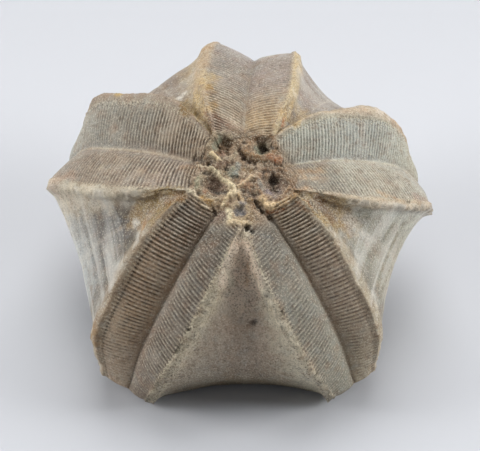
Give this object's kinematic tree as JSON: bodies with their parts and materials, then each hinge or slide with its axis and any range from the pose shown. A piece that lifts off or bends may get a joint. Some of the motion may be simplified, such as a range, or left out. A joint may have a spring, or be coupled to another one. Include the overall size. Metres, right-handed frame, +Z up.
{
  "type": "fossil blastoid",
  "caption": "Petrified cup of a blastoid: broad ribbed rays between sharp rims, hollowed plates, pitted summit and a stem scar. Lies on a flat surface, leaning forward.",
  "frame": {"origin": "on the surface that it lies on, under the centre of its bounding box", "axes": "+Z up from that surface; the summit with the mouth leans forward, towards -Y; +X to the right when it is looked at from the front"},
  "size_m": [0.0334, 0.0318, 0.0188],
  "materials": {
    "fossil_limestone": "weathered calcite, matt on the ribbed rays and waxy on the plates"
  },
  "bodies": {
    "root": {"theca": "fossil_limestone"}
  },
  "joints": []
}
